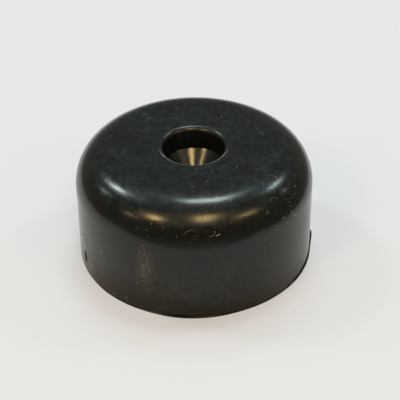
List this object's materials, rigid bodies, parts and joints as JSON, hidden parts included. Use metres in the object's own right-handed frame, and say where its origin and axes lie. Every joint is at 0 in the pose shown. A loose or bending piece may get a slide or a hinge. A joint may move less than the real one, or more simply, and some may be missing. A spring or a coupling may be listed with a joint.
{
  "type": "rubber foot",
  "caption": "Short round black rubber foot with a rounded crown, a flat tread and a central recess whose conical seat takes a screw head.",
  "frame": {"origin": "centre of the screw hole in the plane of the base", "axes": "+Z along the screw hole from the base to the tread; the flash runs round the -Y side"},
  "size_m": [0.0399, 0.0399, 0.0202],
  "materials": {
    "rubber": "smooth moulded black rubber with a soft gloss, dust and lint on it"
  },
  "bodies": {
    "root": {"rubber_foot": "rubber"}
  },
  "joints": []
}
